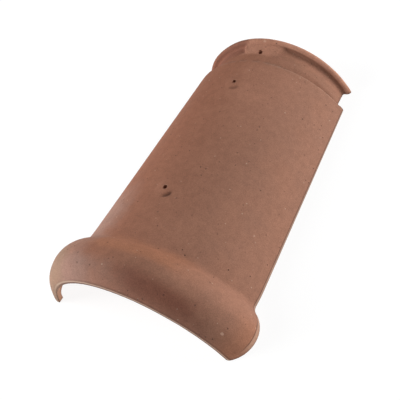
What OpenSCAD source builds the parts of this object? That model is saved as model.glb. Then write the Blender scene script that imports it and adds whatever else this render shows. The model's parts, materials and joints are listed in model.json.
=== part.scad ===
// Half-round clay ridge tile, pressed and fired in one piece.
// It lies on its two long edges with the crown up. The tile runs along Y,
// from the hollow collar at the front to the rimmed spigot at the back.
// Distances along the tile are measured from the front lip.

/* [Barrel] */
// Length of the tile from the front lip to the back of the rim
tile_l = 400; // [320:1:480]
// Outer radius of the barrel's cone, taken on to the front lip
front_r = 136.5; // [115:0.5:160]
// Outer radius of the barrel's cone, taken on to the back of the rim
back_r = 123; // [105:0.5:134]
// Depth of the barrel's axis below the long edges
axis_drop = 46.6; // [30:0.1:60]
// Thickness of the barrel's wall
wall = 12; // [9:0.5:16]
// Height of the upright trim along each long edge, half way along the tile
edge_h = 3.4; // [1:0.1:8]

/* [Collar] */
// Radius of the roll's section
roll_r = 34; // [26:0.1:42]
// Depth of the roll's section centre below the barrel's outer face
roll_sink = 16.2; // [8:0.1:22]
// Distance that the lip's plane cuts into the front of the roll's section
lip_cut = 3.7; // [1:0.1:8]
// Thickness of the roll's wall
roll_wall = 9; // [7:0.5:14]
// Height of the lip's front face
lip_h = 5.2; // [3:0.1:9]
// Radius of the hollow crease between roll and barrel
crease_r = 11; // [6:0.5:26]

/* [Spigot] */
// Length from the shoulder to the back of the rim
spigot_l = 37; // [28:0.5:50]
// Step down from barrel to spigot on the crown
crown_step = 0.6; // [0.3:0.1:4]
// Step in from barrel to spigot at each long edge
side_step = 16.4; // [6:0.1:22]
// Thickness of the spigot's wall
spigot_wall = 13.5; // [11:0.5:17]
// Angle of the flare inside the shoulder
flare_a = 27; // [15:1:45]

/* [Rim] */
// Height of the rim above the spigot
rim_h = 9.3; // [6:0.1:12]
// Width of the rim, which is fully rounded on top
rim_w = 9.2; // [7:0.1:11.9]
// Radius of the hollow round at the foot of the rim's front face
rim_round = 2; // [1:0.1:3.5]

/* [Fixing pad] */
// Width of the pad between its flanks, at its crown in front of the rim
pad_top_w = 50; // [30:1:60]
// Height of the pad above the spigot, where it meets the rim
pad_h = 5.4; // [2:0.1:6]
// Length of the pad's ramp in front of the rim
pad_l = 13; // [10:0.5:20]
// Angle that the pad's flanks lean out from the upright
pad_lean = 34; // [20:1:45]
// Angle that the pad's flanks run in towards the front
pad_turn = 33; // [0:1:40]
// Distance of the pad and its hole to the right of the crown line
pad_shift = 5; // [0:0.5:12]

/* [Nail holes] */
// Diameter of the nail holes
hole_d = 6; // [4:0.1:9]
// Distance of the front hole from the lip
front_hole = 138; // [100:1:160]
// Distance of the back hole from the shoulder
back_hole = 43; // [25:1:80]
// Distance of the pad's hole from the rim
pad_hole = 10.5; // [6:0.5:14]
// Diameter of the low mound round each barrel hole
mound_d = 24; // [14:0.5:34]
// Height of the mound above the barrel
mound_h = 2; // [1:0.1:5]

/* [Hidden] */
$fn = 128;
clay = [0.62, 0.43, 0.35];
eps = 1;
taper = (front_r - back_r) / tile_l;
lean = atan(taper);
shoulder = tile_l - spigot_l;
rim_front = tile_l - rim_w;
rim_foot = min(rim_round, rim_h - rim_w / 2);
roll_mid = roll_r - lip_cut;
roll_c = barrel_r(roll_mid) - roll_sink;
mid_r = barrel_r(tile_l / 2);
edge_cut = mid_r - sqrt(mid_r * mid_r - pow(axis_drop + edge_h, 2));
mouth_r = roll_c + sqrt(roll_r * roll_r - roll_mid * roll_mid) - lip_h;
mound_r = (pow(mound_d / 2, 2) + pow(mound_h, 2)) / (2 * mound_h);

// The spigot's arc runs through its crown and its two long edges
spigot_rise = barrel_rise(shoulder) - crown_step;
spigot_half = sqrt(pow(barrel_r(shoulder), 2) - pow(axis_drop, 2)) - side_step;
spigot_r = (pow(spigot_half, 2) / spigot_rise + spigot_rise) / 2;
spigot_drop = spigot_r - spigot_rise;
throat_r = spigot_r - spigot_wall;

// The crease's circle touches the roll's circle and the barrel's line
reach = roll_r + crease_r;
crease_top = front_r + crease_r / cos(lean) - roll_c;
crease_b = (taper * crease_top + roll_mid) / (1 + taper * taper);
crease_q = (pow(crease_top, 2) + pow(roll_mid, 2) - reach * reach) / (1 + taper * taper);
crease_s = crease_b + sqrt(crease_b * crease_b - crease_q);
crease_c = [crease_top + roll_c - taper * crease_s, crease_s];
crease_foot = crease_c - (crease_r + wall / 2) * [cos(lean), sin(lean)];

function barrel_r(s) = front_r - taper * s;
function barrel_rise(s) = barrel_r(s) - axis_drop;

// Turns a profile of radius against length about an axis that lies below the long edges
module turned(drop) {
    translate([0, -tile_l / 2, -drop])
        rotate([-90, 0, 0])
            rotate_extrude()
                children();
}

// Places a child beside the crown line, at a distance from the lip and a height
module on_top(x, s, z) {
    translate([x, s - tile_l / 2, z])
        children();
}

// Half section of the roll, cut off flat by the plane of the lip
module roll_section() {
    intersection() {
        translate([roll_c, roll_mid])
            circle(roll_r);
        translate([roll_c - 2 * roll_r, 0])
            square([4 * roll_r, 4 * roll_r]);
    }
}

// Clay that fills the crease up to its round
module crease_section() {
    difference() {
        polygon([[roll_c, roll_mid], crease_c, crease_foot]);
        translate(crease_c)
            circle(crease_r);
    }
}

// Outline of the collar and the barrel
module barrel_section() {
    roll_section();
    crease_section();
    polygon([
        [0, roll_mid],
        [barrel_r(roll_mid), roll_mid],
        [barrel_r(shoulder), shoulder],
        [0, shoulder]
    ]);
}

// Outline of the spigot with its round-topped rim
module spigot_section() {
    translate([0, shoulder - wall])
        square([spigot_r, spigot_l + wall]);
    translate([0, rim_front])
        square([spigot_r + rim_h - rim_w / 2, rim_w]);
    translate([spigot_r + rim_h - rim_w / 2, tile_l - rim_w / 2])
        circle(d = rim_w);
    translate([spigot_r, rim_front - rim_foot])
        difference() {
            translate([-eps, 0])
                square(rim_foot + eps);
            translate([rim_foot, 0])
                circle(rim_foot);
        }
}

// All the space above a level plane
module above(z) {
    translate([-2 * front_r, -tile_l, z])
        cube([4 * front_r, 2 * tile_l, 4 * front_r]);
}

// Space on the pad's side of its left or right flank
module inside_flank(side) {
    on_top(pad_shift + side * pad_top_w / 2, rim_front, spigot_rise + pad_h)
        rotate([0, -side * pad_lean, -side * pad_turn])
            translate([-side * front_r, 0, 0])
                cube(2 * front_r, center = true);
}

// Ramp on the spigot's crown that carries the back nail hole
module fixing_pad() {
    intersection() {
        turned(spigot_drop)
            polygon([
                [spigot_r - wall / 2, rim_front - pad_l],
                [spigot_r, rim_front - pad_l],
                [spigot_r + pad_h, rim_front],
                [spigot_r + pad_h, rim_front + rim_w / 2],
                [spigot_r - wall / 2, rim_front + rim_w / 2]
            ]);
        above(spigot_rise - spigot_wall);
        inside_flank(-1);
        inside_flank(1);
    }
}

// Low round mound that the clay makes round a barrel hole
module hole_mound(s) {
    on_top(0, s, barrel_rise(s) + mound_h - mound_r)
        sphere(mound_r);
}

module nail_hole(x, s) {
    on_top(x, s, 0)
        cylinder(d = hole_d, h = 2 * front_r);
}

// Space under the arch: the barrel's bore, narrowed by the flare and the spigot's throat
module bore() {
    intersection() {
        turned(axis_drop)
            polygon([
                [0, -eps],
                [barrel_r(-eps) - wall, -eps],
                [barrel_r(tile_l + eps) - wall, tile_l + eps],
                [0, tile_l + eps]
            ]);
        turned(spigot_drop)
            polygon([
                [0, -eps],
                [throat_r + (shoulder + eps) * tan(flare_a), -eps],
                [throat_r, shoulder],
                [throat_r, tile_l + eps],
                [0, tile_l + eps]
            ]);
    }
}

// Hollow of the collar, behind the lip's mouth
module collar_hollow() {
    turned(axis_drop) {
        translate([roll_c, roll_mid])
            circle(roll_r - roll_wall);
        translate([0, -eps])
            square([mouth_r, roll_mid + eps]);
    }
}

// The tile's outline turned about a line on the floor, which trims its long edges upright
module upright_edges() {
    turned(0)
        intersection() {
            translate([-edge_cut, 0]) {
                barrel_section();
                square([barrel_r(shoulder), tile_l]);
            }
            square([2 * front_r, tile_l]);
        }
}

module ridge_tile() {
    color(clay)
        intersection() {
            difference() {
                union() {
                    turned(axis_drop)
                        barrel_section();
                    turned(spigot_drop)
                        spigot_section();
                    fixing_pad();
                    hole_mound(front_hole);
                    hole_mound(shoulder - back_hole);
                }
                bore();
                collar_hollow();
                nail_hole(0, front_hole);
                nail_hole(0, shoulder - back_hole);
                nail_hole(pad_shift, rim_front - pad_hole);
            }
            above(0);
            upright_edges();
        }
}

ridge_tile();
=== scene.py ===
import json
import math

import bmesh
import bpy
from mathutils import Matrix, Vector

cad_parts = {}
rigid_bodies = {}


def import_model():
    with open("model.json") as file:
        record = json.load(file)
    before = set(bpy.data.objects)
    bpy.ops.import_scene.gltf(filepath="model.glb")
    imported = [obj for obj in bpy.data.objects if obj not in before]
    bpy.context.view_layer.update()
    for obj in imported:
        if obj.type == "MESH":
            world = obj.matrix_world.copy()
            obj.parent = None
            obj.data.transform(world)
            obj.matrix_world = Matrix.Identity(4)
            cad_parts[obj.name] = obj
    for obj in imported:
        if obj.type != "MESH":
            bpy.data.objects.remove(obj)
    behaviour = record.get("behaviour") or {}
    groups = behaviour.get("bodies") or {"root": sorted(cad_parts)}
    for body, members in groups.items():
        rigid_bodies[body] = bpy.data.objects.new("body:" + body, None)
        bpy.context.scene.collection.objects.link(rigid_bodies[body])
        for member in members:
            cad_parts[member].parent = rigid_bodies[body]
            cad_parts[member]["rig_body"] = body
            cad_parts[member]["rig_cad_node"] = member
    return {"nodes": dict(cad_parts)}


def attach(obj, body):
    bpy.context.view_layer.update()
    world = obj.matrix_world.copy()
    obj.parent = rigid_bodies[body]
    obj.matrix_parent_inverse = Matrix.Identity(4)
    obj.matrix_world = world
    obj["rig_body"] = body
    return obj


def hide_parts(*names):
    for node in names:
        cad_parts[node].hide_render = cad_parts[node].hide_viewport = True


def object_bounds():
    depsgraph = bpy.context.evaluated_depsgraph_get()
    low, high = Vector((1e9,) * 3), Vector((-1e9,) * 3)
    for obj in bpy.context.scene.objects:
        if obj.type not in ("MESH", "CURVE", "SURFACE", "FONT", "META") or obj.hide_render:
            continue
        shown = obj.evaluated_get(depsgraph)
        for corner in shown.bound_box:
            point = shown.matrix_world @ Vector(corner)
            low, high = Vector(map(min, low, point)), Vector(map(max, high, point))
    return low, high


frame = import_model()
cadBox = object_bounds()
scene = bpy.context.scene
scene.view_settings.view_transform = "Standard"
print("frame loaded")


# Small helpers for directions, zones and work on objects

def outward(compass, rise):
    # the way out at a compass angle from +X and a height angle, both in degrees
    compass, rise = math.radians(compass), math.radians(rise)
    level = math.cos(rise)
    return Vector((math.cos(compass) * level, math.sin(compass) * level, math.sin(rise)))


def smoothStep(value, low, high, least=0.0):
    share = min(1.0, max(0.0, (value - low) / (high - low)))
    return share * share * (3.0 - 2.0 * share) * (1.0 - least) + least


def selectOnly(piece):
    bpy.ops.object.select_all(action="DESELECT")
    piece.select_set(True)
    bpy.context.view_layer.objects.active = piece


def finishModifier(piece, kind, **settings):
    selectOnly(piece)
    bpy.ops.object.modifier_add(type=kind)
    modifier = piece.modifiers[-1]
    for key, value in settings.items():
        setattr(modifier, key, value)
    bpy.ops.object.modifier_apply(modifier=modifier.name)


# The view of the photograph: angles in degrees, lengths in metres, lens and sensor in mm

viewSetup = {
    "azimuth": 50.636,      # from -Y
    "elevation": 43.782,
    "roll": -29.548,
    "distance": 0.8579,
    "target": (-0.0318, 0.0, -0.01995),
    "lens": 58.755,
    "sensor": 36.0,
    "nearest": 0.05,        # nothing closer is seen
}


def makeCamera(setup):
    bpy.ops.object.camera_add()
    camera = bpy.context.object
    camera.name = "photoCamera"
    camera.data.lens = setup["lens"]
    camera.data.sensor_width = setup["sensor"]
    camera.data.clip_start = setup["nearest"]
    roll = math.radians(setup["roll"])
    back = outward(setup["azimuth"] - 90.0, setup["elevation"])
    level = outward(setup["azimuth"], 0.0)
    up = back.cross(level)
    across = level * math.cos(roll) + up * math.sin(roll)
    upright = up * math.cos(roll) - level * math.sin(roll)
    camera.matrix_world = Matrix((across, upright, back)).transposed().to_4x4()
    camera.location = Vector(setup["target"]) + back * setup["distance"]
    scene.camera = camera


makeCamera(viewSetup)
print("camera set")


# The tile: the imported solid, remeshed as clay, with rounded arrises, pressed marks and kiln warp

tileShape = {
    "weldGap": 0.00002,     # points closer together than this are joined
    "octreeDepth": 8,
    "gridScale": 0.73,      # cells of about 2.1 mm
    "softening": 2,         # passes that round the arrises
    "rounding": 5,          # more passes at the shoulder
    "mouthSoftening": 2,    # and at the lip's mouth
    "passShare": 0.5,       # how far one pass moves a point
    "warp": 0.9,            # degrees that the barrel stands askew
    "endShift": 0.0016,     # how far the spigot is pushed across
    "legSpread": 0.0036,    # how far its left leg stands out
    "lipSpread": 0.0020,    # and the collar's left foot at the lip
    "rimShrink": 0.0014,    # how far the rim's front face has shrunk back
    # the lip's inner edge: radius, place along the tile and rounding
    "mouth": (0.1295, -0.2, 0.001),
    "mouthFiner": (0.0026, 0.0014),     # reach of the finer mesh, and of a finer one in it
    # nail holes: middle across and along, radius, and reach of the finer mesh
    "holes": [
        (0.0, -0.062, 0.003, 0.018),
        (0.0, 0.120, 0.003, 0.018),
        (0.005, 0.1803, 0.003, 0.009),
    ],
    "holeFiner": (1.0, 0.45),           # shares of that reach, as for the mouth
    "holeSlack": (0.0005, 1.12),        # a hole's wall: least distance, and most radii
    # dents at the feet of the mounds: middle, radius, first and last angle, half width, depth,
    # painted shadow
    "dents": [
        (0.0, -0.062, 0.0116, -88, -16, 0.0016, 0.0019, 0.9),
        (0.0, 0.120, 0.0104, -112, -34, 0.0020, 0.0012, 0.5),
    ],
    "dentRun": (-8, 22),    # degrees in from its ends where a dent starts and is full
    "dentLeast": 0.01,      # shares of its depth below this are left out
    # relief: size of the pattern, its detail and its depth, most of it inward
    "relief": [
        ("sway", 0.09, 2, 0.0005),
        ("lumps", 0.018, 2, 0.0002),
        ("grit", 0.0042, 1, 0.00012),
    ],
    "inward": 0.72,
    "wearAndShadeAngles": (0.25, 0.95),     # bends, in radians, at which wear and the corners' painted shade start and are full
    "wornPasses": 1,                # how often wear spreads to the points beside it
    "crevicePasses": 3,                # and the corners' painted shade
    "edgeSoftness": 0.2,            # least share of the softening, at the long edges
    "holeSoftness": 0.25,           # and at the holes
    "shadeAngle": 38,               # degrees up to which faces are shaded as one
    "boxGap": 0.00002,              # kept free inside the upper bounds of the part's box
}

# Where things are on the tile. A pair says where a zone starts and is full, unless its note
# says what else the two are.

tilePlaces = {
    "barrelDrop": 0.0466,           # the barrel's axis below the floor
    "spigotDrop": 0.0248,           # and the spigot's
    "floorSkin": 0.0005,            # points below this height stay on the floor
    "crownLevel": 0.05,             # near the holes, all clay is above this height
    "lookUp": 0.5,                  # upward part of a normal on the crown's outside
    "lookDown": -0.3,               # and on its underside
    "edgeRise": (0.004, 0.016),     # height above the long edges
    "bandTop": (0.215, -0.02438),   # the cut band's top: rise for each metre of ring, and shift
    "shoulder": (0.163, 0.005),     # place along the tile, and half the width that is rounded
    "shoulderFoot": 0.008,          # it stays square below this height
    "shoulderLook": 0.1,            # and where it looks down
    "mouthZone": (-0.195, 0.1315),  # furthest place along the tile, and greatest ring
    "mouthRise": (0.002, 0.012),    # height above the floor
    "mouthWall": (0.0060, 0.0010),  # depth of the even wall behind the lip, and slack inside it
    "barrel": (-0.150, -0.115),     # along the tile
    "spigot": (0.1632, 0.1740),
    "rimFront": (0.1850, 0.1898),
    "rimBack": (0.1995, 0.1925),
    "rimSkin": (0.0985, 0.1012),    # ring about the spigot's axis
    "leftLeg": (-0.055, -0.095),    # across the tile
    "leftFoot": (-0.080, -0.115),
    "footFront": (-0.176, -0.196),  # along the tile
}


def ringOf(point, drop):
    # distance from an axis that runs along the tile below the floor
    return math.hypot(point.x, point.z + drop)


def copyOfNode(nodeName, pieceName, weldGap):
    selectOnly(frame["nodes"][nodeName])
    bpy.ops.object.duplicate()
    piece = bpy.context.object
    piece.name = pieceName
    piece.data.name = pieceName
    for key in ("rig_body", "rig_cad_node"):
        del piece[key]
    bpy.ops.object.parent_clear(type="CLEAR_KEEP_TRANSFORM")
    piece.data.materials.clear()
    bpy.ops.object.mode_set(mode="EDIT")
    bpy.ops.mesh.select_all(action="SELECT")
    bpy.ops.mesh.remove_doubles(threshold=weldGap)
    bpy.ops.object.mode_set(mode="OBJECT")
    return piece


def reliefTexture(name, size, depth):
    texture = bpy.data.textures.new(name, "CLOUDS")
    texture.noise_scale = size
    texture.noise_depth = depth
    return texture


def halveFaces(piece, gapOf, limits):
    # for each limit, cuts the faces whose gap is smaller into four
    selectOnly(piece)
    bpy.ops.object.mode_set(mode="EDIT")
    bpy.ops.mesh.select_mode(type="FACE")
    for limit in limits:
        bpy.ops.mesh.select_all(action="DESELECT")
        mesh = bmesh.from_edit_mesh(piece.data)
        for face in mesh.faces:
            if gapOf(face) < limit:
                face.select_set(True)
        bmesh.update_edit_mesh(piece.data)
        bpy.ops.mesh.subdivide(number_cuts=1)
    bpy.ops.object.mode_set(mode="OBJECT")


def refineHoles(piece, shape, places):
    # a finer mesh round each nail hole, with the hole's own wall brought back to its round
    holes = shape["holes"]

    def gapOf(face):
        middle = face.calc_center_median()
        if middle.z < places["crownLevel"] or face.normal.z < places["lookDown"]:
            return math.inf
        return min(math.hypot(middle.x - x, middle.y - y) / reach for x, y, radius, reach in holes)

    halveFaces(piece, gapOf, shape["holeFiner"])
    closest, slack = shape["holeSlack"]
    for vert in piece.data.vertices:
        if vert.co.z < places["crownLevel"]:
            continue
        for x, y, radius, reach in holes:
            away = math.hypot(vert.co.x - x, vert.co.y - y)
            if closest < away < radius * slack:
                vert.co.x = x + (vert.co.x - x) * radius / away
                vert.co.y = y + (vert.co.y - y) * radius / away


def refineMouth(piece, shape, places):
    # a finer mesh along the lip's inner edge
    edge, lip, rounding = shape["mouth"]

    def gapOf(face):
        middle = face.calc_center_median()
        return math.hypot(ringOf(middle, places["barrelDrop"]) - edge, middle.y - lip)

    halveFaces(piece, gapOf, shape["mouthFiner"])


def roundMouth(piece, shape, places):
    # points at the edge go onto its even round, points of the mouth's wall onto its cylinder
    edge, lip, rounding = shape["mouth"]
    depth, slack = places["mouthWall"]
    drop = places["barrelDrop"]
    for vert in piece.data.vertices:
        ring = ringOf(vert.co, drop)
        side, ahead = ring - edge - rounding, vert.co.y - lip - rounding
        if vert.co.y > lip + depth or side > 0.0 or ring < edge - slack:
            continue
        wanted = edge
        if ahead < 0.0:
            away = max(math.hypot(side, ahead), rounding * 0.1)
            wanted = edge + rounding * (1.0 + side / away)
            vert.co.y = lip + rounding * (1.0 + ahead / away)
        vert.co.x *= wanted / ring
        if vert.co.z > places["floorSkin"]:
            vert.co.z = (vert.co.z + drop) * wanted / ring - drop


def spreadLayer(mesh, layer, passes):
    for step in range(passes):
        spread = []
        for vert in mesh.verts:
            beside = [edge.other_vert(vert)[layer] for edge in vert.link_edges]
            spread.append(0.5 * vert[layer] + 0.5 * sum(beside) / len(beside))
        for vert, value in zip(mesh.verts, spread):
            vert[layer] = value


def paintWearAndShade(piece, shape, places):
    # arrises that stick out wear pale, corners that lie deep are marked for painted shade
    mesh = bmesh.new()
    mesh.from_mesh(piece.data)
    worn = mesh.verts.layers.float.new("worn")
    crevice = mesh.verts.layers.float.new("crevice")
    for edge in mesh.edges:
        angle = edge.calc_face_angle_signed(0.0)
        layer = worn if angle > 0.0 else crevice
        sharp = smoothStep(abs(angle), *shape["wearAndShadeAngles"])
        for vert in edge.verts:
            vert[layer] = max(vert[layer], sharp)
    spreadLayer(mesh, worn, shape["wornPasses"])
    spreadLayer(mesh, crevice, shape["crevicePasses"])
    # height above the upper arris of the cut band, which rises where the tile is wider
    trim = mesh.verts.layers.float.new("trim")
    rise, shift = places["bandTop"]
    for vert in mesh.verts:
        ring = ringOf(vert.co, places["barrelDrop"])
        outside = vert.normal.x * vert.co.x > 0.0
        vert[trim] = vert.co.z - (rise * ring + shift) if outside else 1.0
    mesh.to_mesh(piece.data)
    mesh.free()


def weighPoints(piece, shape, places):
    # the long edges and the holes stay crisp and flat, the shoulder and the mouth get rounder
    soft = piece.vertex_groups.new(name="soft")
    rounded = piece.vertex_groups.new(name="rounded")
    mouth = piece.vertex_groups.new(name="mouth")
    shoulder, halfWidth = places["shoulder"]
    mouthEnd, mouthRing = places["mouthZone"]
    for vert in piece.data.vertices:
        high = vert.co.z
        weight = smoothStep(high, *places["edgeRise"], least=shape["edgeSoftness"])
        if high > places["crownLevel"]:
            for x, y, radius, reach in shape["holes"]:
                away = math.hypot(vert.co.x - x, vert.co.y - y)
                weight *= smoothStep(away, radius, radius * 2.0, least=shape["holeSoftness"])
        soft.add([vert.index], weight, "REPLACE")
        outside = vert.normal.z > places["shoulderLook"] and high > places["shoulderFoot"]
        if outside and abs(vert.co.y - shoulder) < halfWidth:
            rounded.add([vert.index], 1.0, "REPLACE")
        if vert.co.y < mouthEnd and ringOf(vert.co, places["barrelDrop"]) < mouthRing:
            mouth.add([vert.index], smoothStep(high, *places["mouthRise"]), "REPLACE")


def pressDents(piece, shape, places):
    # presses each dent in, and keeps a share of painted shadow for it in a layer
    mesh = bmesh.new()
    mesh.from_mesh(piece.data)
    mesh.normal_update()
    soot = mesh.verts.layers.float.new("soot")
    start, full = shape["dentRun"]
    for vert in mesh.verts:
        if vert.normal.z < places["lookUp"]:
            continue
        for x, y, radius, first, last, width, depth, shadeShare in shape["dents"]:
            side, ahead = vert.co.x - x, vert.co.y - y
            angle = math.degrees(math.atan2(ahead, side))
            share = smoothStep(angle, first + start, first + full)
            share *= smoothStep(angle, last - start, last - full)
            share *= math.exp(-((math.hypot(side, ahead) - radius) / width) ** 2)
            if share > shape["dentLeast"]:
                vert.co -= vert.normal * depth * share
                vert[soot] = max(vert[soot], share * shadeShare)
    mesh.to_mesh(piece.data)
    mesh.free()


def warpTile(piece, shape, places):
    # the barrel came out of the kiln a little askew, its spigot pushed to the right, its left side
    # spread at both ends, and the rim's front drawn in
    slope = math.tan(math.radians(shape["warp"]))
    for vert in piece.data.vertices:
        x, y = vert.co.x, vert.co.y
        spigot = smoothStep(y, *places["spigot"])
        barrel = smoothStep(y, *places["barrel"]) * (1.0 - spigot)
        leg = smoothStep(x, *places["leftLeg"])
        foot = smoothStep(x, *places["leftFoot"]) * smoothStep(y, *places["footFront"])
        rim = smoothStep(y, *places["rimFront"]) * smoothStep(y, *places["rimBack"])
        rim *= smoothStep(ringOf(vert.co, places["spigotDrop"]), *places["rimSkin"])
        vert.co.x += (shape["endShift"] - shape["legSpread"] * leg) * spigot
        vert.co.x -= slope * y * barrel + shape["lipSpread"] * foot
        vert.co.y += shape["rimShrink"] * rim


def keepInside(piece, box, gap):
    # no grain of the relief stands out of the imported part's box
    low, high = box
    for vert in piece.data.vertices:
        for axis in range(3):
            vert.co[axis] = min(high[axis] - gap, max(low[axis], vert.co[axis]))


def makeTile(shape, places):
    tile = copyOfNode("ridge_tile", "claytile", shape["weldGap"])
    finishModifier(tile, "REMESH", mode="SHARP", octree_depth=shape["octreeDepth"],
                   scale=shape["gridScale"], use_remove_disconnected=False)
    refineHoles(tile, shape, places)
    refineMouth(tile, shape, places)
    paintWearAndShade(tile, shape, places)
    weighPoints(tile, shape, places)
    smoothing = {"soft": "softening", "rounded": "rounding", "mouth": "mouthSoftening"}
    for group, passes in smoothing.items():
        finishModifier(tile, "SMOOTH", factor=shape["passShare"], iterations=shape[passes],
                       vertex_group=group)
    roundMouth(tile, shape, places)
    pressDents(tile, shape, places)
    warpTile(tile, shape, places)
    for name, size, depth, strength in shape["relief"]:
        finishModifier(tile, "DISPLACE", texture=reliefTexture(name, size, depth),
                       texture_coords="LOCAL", mid_level=shape["inward"], strength=strength,
                       vertex_group="soft")
    keepInside(tile, cadBox, shape["boxGap"])
    selectOnly(tile)
    bpy.ops.object.shade_smooth_by_angle(angle=math.radians(shape["shadeAngle"]))
    return tile


tile = makeTile(tileShape, tilePlaces)
triangles = sum(len(face.vertices) - 2 for face in tile.data.polygons)
print("tile shaped:", triangles, "triangles")


# Fired clay: colours as they look in plain light, with painted light and shade among the marks,
# pattern scales per metre, lengths in metres

clayLook = {
    "red": (0.297, 0.117, 0.067, 1.0),
    "tan": (0.326, 0.157, 0.102, 1.0),
    "orange": (0.405, 0.170, 0.094, 1.0),
    "dusty": (0.301, 0.162, 0.120, 1.0),
    # dark tone for painted shade
    "soot": (0.246, 0.098, 0.063, 1.0),
    "light": (0.425, 0.200, 0.130, 1.0),
    "bead": (0.520, 0.255, 0.170, 1.0),
    "dust": (0.350, 0.197, 0.150, 1.0),
    "ochre": (0.305, 0.178, 0.116, 1.0),
    "pale": (0.560, 0.400, 0.300, 1.0),
    "chip": (0.540, 0.330, 0.240, 1.0),
    # bare clay inside the collar's hollow, also painted light on the mouth's inner wall
    "rawAndLit": (0.600, 0.320, 0.205, 1.0),
    "dark": (0.075, 0.034, 0.024, 1.0),
    "drift": (-0.08, 0.09),         # across the tile, where the body is still red and fully tan
    # noise: scale, detail and roughness
    "cloud": (22.0, 4.0, 0.6),
    "ragged": (210.0, 3.0, 0.65),
    "mottle": (130.0, 3.0, 0.6),
    "grain": (820.0, 2.0, 0.7),
    # shades of the body: noise from and to, and the shade there
    "cloudShade": (0.30, 0.70, 0.955, 1.045),
    "mottleShade": (0.30, 0.70, 0.94, 1.06),
    "grainShade": (0.28, 0.72, 0.86, 1.13),
    "roughness": (0.30, 0.70, 0.80, 0.94),      # follows the cloud in the same way
    "specular": 0.3,
    "sway": (0.060, 0.012),         # how far the cloud pushes borders across and along the tile
    "wobble": (900.0, 1.0, 0.0014),     # scale, detail and reach of what makes dots uneven
    # dots: colour, strength, scale, size in a cell, share of the cells
    "specks": ("pale", 0.6, 150.0, 0.15, 0.34),
    "pores": ("dark", 0.7, 190.0, 0.20, 0.30),
    # bigger marks: colour, strength, places and radii
    "chips": ("chip", 0.8, [
        (0.1036, -0.0698, 0.0353, 0.0016),
        (0.1236, -0.1877, 0.0345, 0.0021),
        (0.0944, 0.1600, 0.0345, 0.0016),
        (0.0098, 0.1926, 0.0857, 0.0030),
        (0.060, 0.141, 0.066, 0.0013),
    ]),
    "spots": ("dark", 0.7, [
        # the first spot is painted shade, where a small hollow lies under the chip on the rim
        (0.0125, 0.1877, 0.0816, 0.0022),
        (0.0155, -0.1800, 0.1030, 0.0014),
        (-0.006, -0.178, 0.104, 0.0014),
    ]),
    "hollowMiddle": (0.1193, -0.1697),      # ring and place along the tile, in the collar's section
    "grainDepth": 0.0002,
    "poreDepth": 0.0006,
}

# Marks, each painted over the one before: colour, strength, and the fields that bound it.
# Two places are where a mark starts and is full, with its shares there if they aren't 0 and 1.
# Four places are where it starts, is full, begins to end and ends. A field alone is a share.

kilnAndLightMarks = {
    # painted highlight along the collar's rear crest, where the lamps catch it, partly more orange
    # clay
    "crest": ("orange", 0.75, [
        ("along", (-0.166, -0.156, -0.143, -0.131)), ("across", (-0.095, -0.045, 0.05, 0.11))]),
    # more painted highlight on the crest's right part
    "crestRight": ("light", 0.3, [
        ("along", (-0.172, -0.162, -0.143, -0.128)), ("across", (0.055, 0.090))]),
    # painted highlight on the collar's right end, which faces the right lamps
    "rightEnd": ("orange", 0.6, [
        ("along", (-0.150, -0.170)), ("high", (0.045, 0.010)), ("across", (0.08, 0.12))]),
    "frontDust": ("dusty", 1.0, [
        ("along", (-0.170, -0.184)), ("across", (0.035, -0.035))]),
    # the collar's front: painted shade where it faces away from the lamps, partly darker clay
    "frontShade": ("soot", 1.0, [
        ("along", (-0.170, -0.184)), ("along", (-0.200, -0.188), (0.5, 1.0)),
        ("across", (0.0, 0.035, 0.085, 0.115))]),
    "farPatch": ("light", 0.35, [
        ("along", (0.05, 0.10, 0.150, 0.165)), ("across", (-0.005, 0.025, 0.06, 0.09))]),
    "leftDust": ("dust", 1.0, [
        ("along", (-0.040, -0.090)), ("along", (-0.165, -0.145), (0.5, 0.85)),
        ("across", (-0.025, -0.060))]),
    "leftEnd": ("ochre", 1.0, [
        ("along", (-0.150, -0.170)), ("across", (-0.050, -0.085))]),
    # painted highlight on the rim's lit bead
    "bead": ("bead", 1.0, [
        ("spigotRing", (0.1070, 0.1090)), ("along", (0.182, 0.186)), ("across", (-0.030, 0.0))]),
    # painted light at the rim's foot, making up for the shade there
    "rimFoot": ("light", 0.4, [
        ("spigotRing", (0.1008, 0.1018, 0.1034, 0.1050)), ("along", (0.179, 0.184)),
        ("across", (-0.030, 0.0))]),
    # painted highlight on the pad between the barrel and the rim
    "pad": ("light", 1.0, [
        ("across", (-0.030, -0.014, 0.028, 0.040)), ("along", (0.174, 0.180))]),
    # painted shade on the rim's left front face, in its groove
    "rimLeft": ("soot", 0.75, [
        ("along", (0.174, 0.182)), ("across", (-0.125, -0.100, -0.026, -0.016))]),
    "hollow": ("rawAndLit", 0.8, [
        ("hollowRing", (0.0275, 0.0262))]),
    # painted light on the mouth's inner wall and the left leg's inner face
    "mouth": ("rawAndLit", 0.8, [
        ("barrelRing", (0.1340, 0.1326)), ("exactAlong", (-0.1992, -0.1980, -0.172, -0.160))]),
}

# After the grain and the dots come worn arrises, painted shade in corners and painted shadow in the
# dents, and the cut long edges, their band with a painted highlight. The lip gets a painted
# highlight above and painted shade below and at its upper arris, and the rim painted shadow under
# its bead.

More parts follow.
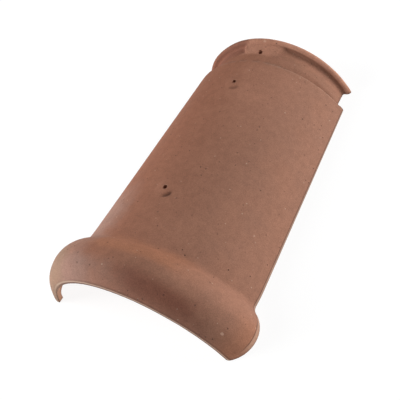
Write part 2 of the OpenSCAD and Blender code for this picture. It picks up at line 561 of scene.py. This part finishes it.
wearAndLightMarks = {
    "arris": ("pale", 0.45, [
        ("worn",), ("high", (0.012, 0.022)), ("ragged", (0.35, 0.62), (0.25, 1.0)),
        ("along", (0.172, 0.160))]),
    # painted shade in the deep corners
    "cornerShade": ("dark", 1.0, [
        ("crevice",), ("along", (0.176, 0.184), (0.55, 0.12))]),
    # painted shadow in the dents at the mounds' feet
    "dentShade": ("dark", 0.75, [
        ("soot",)]),
    "lowArris": ("dark", 0.65, [
        ("worn",), ("high", (0.014, 0.010))]),
    # painted highlight on the cut band of the long edges
    "bandHighlight": ("pale", 0.32, [
        ("trim", (0.0002, -0.0006)), ("along", (-0.196, -0.176))]),
    "seam": ("dark", 0.6, [
        ("trim", (-0.0009, -0.0002, 0.0004, 0.0012)), ("along", (-0.196, -0.176))]),
    # painted highlight on the lip's face
    "lipTop": ("pale", 1.0, [
        ("exactAlong", (-0.1975, -0.1988)), ("barrelRing", (0.1322, 0.1330, 0.1344, 0.1350)),
        ("across", (-0.125, -0.055), (0.2, 0.7))]),
    # painted shade on the lip's lower edge
    "lipLow": ("dark", 1.0, [
        ("exactAlong", (-0.1975, -0.1988)), ("barrelRing", (0.1284, 0.1290, 0.1320, 0.1328)),
        ("across", (-0.110, 0.0), (0.2, 0.8))]),
    # painted shade at the lip's upper arris
    "lipArris": ("dark", 1.0, [
        ("along", (-0.1950, -0.1972)), ("barrelRing", (0.1342, 0.1350, 0.1362, 0.1375)),
        ("across", (-0.070, 0.020), (0.05, 0.4))]),
    # painted shadow on the rim's front under its bead
    "underBead": ("dark", 1.0, [
        ("exactAlong", (0.1865, 0.1895, 0.1925, 0.1965)),
        ("spigotRing", (0.1034, 0.1056, 0.1078, 0.1096)), ("pad", (0.0, 1.0), (0.16, 0.0))]),
}


def addNode(tree, kind, inputs=None, **settings):
    made = tree.nodes.new(kind)
    for key, value in settings.items():
        setattr(made, key, value)
    for key, value in (inputs or {}).items():
        if isinstance(value, bpy.types.NodeSocket):
            tree.links.new(value, made.inputs[key])
        else:
            made.inputs[key].default_value = value
    return made


def maths(tree, operation, *values):
    made = addNode(tree, "ShaderNodeMath", dict(enumerate(values)), operation=operation)
    return made.outputs[0]


def times(tree, first, second):
    return maths(tree, "MULTIPLY", first, second)


def fade(tree, value, low, high, start=0.0, end=1.0):
    ends = {"From Min": low, "From Max": high, "To Min": start, "To Max": end}
    ramp = addNode(tree, "ShaderNodeMapRange", {"Value": value, **ends},
                   interpolation_type="SMOOTHSTEP")
    return ramp.outputs["Result"]


def bound(tree, field, places=None, shares=(0.0, 1.0)):
    if places is None:
        return field
    if len(places) == 2:
        return fade(tree, field, *places, *shares)
    outer, inner, innerEnd, outerEnd = places
    return times(tree, fade(tree, field, outer, inner), fade(tree, field, outerEnd, innerEnd))


def noise(tree, place, scale, detail, rough):
    made = addNode(tree, "ShaderNodeTexNoise", {"Vector": place, "Scale": scale,
                                                "Detail": detail, "Roughness": rough})
    return made.outputs["Fac"]


def painted(tree, name):
    return addNode(tree, "ShaderNodeAttribute", attribute_name=name).outputs["Fac"]


def diagonal(tree, first, second):
    # length of two distances that are square to each other
    corner = addNode(tree, "ShaderNodeCombineXYZ", {"X": first, "Y": second}).outputs[0]
    made = addNode(tree, "ShaderNodeVectorMath", {0: corner}, operation="LENGTH")
    return made.outputs["Value"]


def blendColour(tree, share, under, over):
    # sockets 6 and 7 are the node's two colours
    made = addNode(tree, "ShaderNodeMix", {0: share, 6: under, 7: over}, data_type="RGBA")
    return made.outputs[2]


def dots(tree, place, scale, size, share, smallest=0.45, core=0.55):
    # round dots of uneven size in a share of the cells of a scattered net
    cells = addNode(tree, "ShaderNodeTexVoronoi", {"Vector": place, "Scale": scale})
    pick = addNode(tree, "ShaderNodeSeparateColor", {"Color": cells.outputs["Color"]})
    chosen = maths(tree, "LESS_THAN", pick.outputs["Red"], share)
    reach = fade(tree, pick.outputs["Green"], 0.0, 1.0, size * smallest, size)
    near = maths(tree, "DIVIDE", cells.outputs["Distance"], reach)
    return times(tree, chosen, fade(tree, near, core, 1.0, 1.0, 0.0))


def spot(tree, place, ragged, x, y, z, radius):
    # the border lies at about the radius, and the noise moves it in and out
    gap = addNode(tree, "ShaderNodeVectorMath", {0: place, 1: (x, y, z)}, operation="DISTANCE")
    gap = maths(tree, "MULTIPLY_ADD", ragged, radius * 2.0, gap.outputs["Value"])
    return fade(tree, gap, radius * 2.0, radius * 1.4)


def findFields(tree, place, cloud, look, places):
    # what bounds the marks: places, swayed or exact, rings, and the mesh's own layers
    axes = addNode(tree, "ShaderNodeSeparateXYZ", {"Vector": place}).outputs
    swayed = maths(tree, "SUBTRACT", cloud, 0.5)
    swayAcross, swayAlong = look["sway"]
    fields = {
        "across": maths(tree, "MULTIPLY_ADD", swayed, swayAcross, axes["X"]),
        "along": maths(tree, "MULTIPLY_ADD", swayed, swayAlong, axes["Y"]),
        "exactAlong": axes["Y"],
        "high": axes["Z"],
    }
    for name in ("barrel", "spigot"):
        height = maths(tree, "ADD", axes["Z"], places[name + "Drop"])
        fields[name + "Ring"] = diagonal(tree, axes["X"], height)
    ring, middle = look["hollowMiddle"]
    fields["hollowRing"] = diagonal(tree, maths(tree, "SUBTRACT", fields["barrelRing"], ring),
                                    maths(tree, "SUBTRACT", axes["Y"], middle))
    for name in ("worn", "crevice", "soot", "trim"):
        fields[name] = painted(tree, name)
    return fields


def paintMarks(tree, colour, marks, fields, look):
    for name, (tone, strength, bounds) in marks.items():
        mask = 1.0
        for field, *limits in bounds:
            mask = times(tree, mask, bound(tree, fields[field], *limits))
        fields[name] = mask
        colour = blendColour(tree, times(tree, mask, strength), colour, look[tone])
    return colour


def makeClay(look, places):
    clay = bpy.data.materials.new("firedClay")
    clay.use_nodes = True
    tree = clay.node_tree
    shader = tree.nodes["Principled BSDF"]
    place = addNode(tree, "ShaderNodeTexCoord").outputs["Object"]
    cloud = noise(tree, place, *look["cloud"])
    ragged = noise(tree, place, *look["ragged"])
    fields = findFields(tree, place, cloud, look, places)
    fields["ragged"] = ragged

    # body colour drifts from red on the left to tan on the right
    drift = fade(tree, fields["across"], *look["drift"])
    colour = blendColour(tree, drift, look["red"], look["tan"])
    # the kiln's marks, with painted highlights and painted shade among them
    colour = paintMarks(tree, colour, kilnAndLightMarks, fields, look)
    # patches, mottling and grain lighten and darken it a little
    patch = fade(tree, cloud, *look["cloudShade"])
    mottle = fade(tree, noise(tree, place, *look["mottle"]), *look["mottleShade"])
    grain = fade(tree, noise(tree, place, *look["grain"]), *look["grainShade"])
    shade = times(tree, times(tree, patch, mottle), grain)
    shaded = addNode(tree, "ShaderNodeVectorMath", {0: colour, "Scale": shade}, operation="SCALE")
    colour = shaded.outputs[0]
    # pale lime specks, open pores, and a few bigger chips and spots, none of them quite round
    scale, detail, reach = look["wobble"]
    wobble = addNode(tree, "ShaderNodeTexNoise", {"Vector": place, "Scale": scale,
                                                  "Detail": detail})
    uneven = addNode(tree, "ShaderNodeVectorMath", {0: wobble.outputs["Color"], 1: (reach,) * 3,
                                                    2: place}, operation="MULTIPLY_ADD").outputs[0]
    for name in ("specks", "pores"):
        tone, strength, scale, size, share = look[name]
        fields[name] = dots(tree, uneven, scale, size, share)
        colour = blendColour(tree, times(tree, fields[name], strength), colour, look[tone])
    for name in ("chips", "spots"):
        tone, strength, marks = look[name]
        for mark in marks:
            mask = times(tree, spot(tree, place, ragged, *mark), strength)
            colour = blendColour(tree, mask, colour, look[tone])
    # then wear, with painted highlights and painted shade among the marks
    colour = paintMarks(tree, colour, wearAndLightMarks, fields, look)
    tree.links.new(colour, shader.inputs["Base Color"])

    tree.links.new(fade(tree, cloud, *look["roughness"]), shader.inputs["Roughness"])
    shader.inputs["Specular IOR Level"].default_value = look["specular"]
    # grain and pores as fine relief
    relief = maths(tree, "ADD", grain, mottle)
    rough = addNode(tree, "ShaderNodeBump", {"Height": relief, "Distance": look["grainDepth"],
                                             "Strength": 1.0})
    pitted = addNode(tree, "ShaderNodeBump", {"Height": fields["pores"], "Strength": 1.0,
                                              "Distance": look["poreDepth"],
                                              "Normal": rough.outputs["Normal"]}, invert=True)
    tree.links.new(pitted.outputs["Normal"], shader.inputs["Normal"])
    return clay


tile.data.materials.append(makeClay(clayLook, tilePlaces))
print("clay painted")


# Plain studio: white floor that sends its light back up, soft boxes on stands round the tile

studio = {
    "floorSize": 8.0,
    "floorColour": (0.86, 0.86, 0.86, 1.0),
    "floorGlow": (0.58, 0.82),      # share of the floor's own white for the tile and for the camera
    "glowStrength": 1.1,
    "airColour": (1.0, 1.0, 1.0, 1.0),
    "surround": (0.0, 0.905),       # the air's light on the tile, and its look past the floor
    "aimHeight": 0.04,              # the boxes point at the tile's middle
    # name, compass angle from +X, height angle, distance, width, height, watts
    "boxes": [
        ("rightBox", 30, 20, 1.6, 0.9, 0.9, 15.5),
        ("backBox", 60, 20, 1.6, 0.9, 0.9, 9.5),
        ("leftBox", 207, 34, 1.6, 0.9, 0.9, 22.0),
        ("leftLowBox", 210, 9, 1.6, 0.9, 0.45, 12.0),
        ("frontBox", 325, 14, 1.6, 0.9, 0.9, 4.0),
    ],
}


def makeFloor(setup):
    bpy.ops.mesh.primitive_plane_add(size=setup["floorSize"], location=(0.0, 0.0, 0.0))
    floor = bpy.context.object
    floor.name = "studioFloor"
    paint = bpy.data.materials.new("floorPaint")
    paint.use_nodes = True
    tree = paint.node_tree
    tree.nodes.clear()
    rays = addNode(tree, "ShaderNodeLightPath").outputs
    seen = maths(tree, "ADD", rays["Is Camera Ray"], rays["Is Glossy Ray"])
    seen = addNode(tree, "ShaderNodeMath", {0: seen, 1: rays["Is Transmission Ray"]},
                   operation="ADD", use_clamp=True).outputs[0]
    forTile, forCamera = setup["floorGlow"]
    share = addNode(tree, "ShaderNodeMapRange", {"Value": seen, "To Min": forTile,
                                                 "To Max": forCamera}).outputs[0]
    matte = addNode(tree, "ShaderNodeBsdfDiffuse", {"Color": setup["floorColour"]}).outputs[0]
    glow = addNode(tree, "ShaderNodeEmission", {"Strength": setup["glowStrength"]}).outputs[0]
    mix = addNode(tree, "ShaderNodeMixShader", {0: share, 1: matte, 2: glow}).outputs[0]
    addNode(tree, "ShaderNodeOutputMaterial", {"Surface": mix})
    floor.data.materials.append(paint)


def makeWorld(setup):
    world = bpy.data.worlds.new("studioAir")
    scene.world = world
    world.use_nodes = True
    tree = world.node_tree
    air = tree.nodes["Background"]
    air.inputs["Color"].default_value = setup["airColour"]
    rays = addNode(tree, "ShaderNodeLightPath").outputs
    forTile, forCamera = setup["surround"]
    level = addNode(tree, "ShaderNodeMapRange", {"Value": rays["Is Camera Ray"], "To Min": forTile,
                                                 "To Max": forCamera})
    tree.links.new(level.outputs["Result"], air.inputs["Strength"])


def makeBox(aimHeight, name, compass, rise, distance, width, tall, watts):
    bpy.ops.object.light_add(type="AREA")
    lamp = bpy.context.object
    lamp.name = name
    lamp.data.shape = "RECTANGLE"
    lamp.data.size = width
    lamp.data.size_y = tall
    lamp.data.energy = watts
    out = outward(compass, rise)
    lamp.location = out * distance + Vector((0.0, 0.0, aimHeight))
    lamp.rotation_euler = out.to_track_quat("Z", "Y").to_euler()


makeFloor(studio)
makeWorld(studio)
for box in studio["boxes"]:
    makeBox(studio["aimHeight"], *box)
print("studio lit")

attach(tile, "root")
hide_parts("ridge_tile")
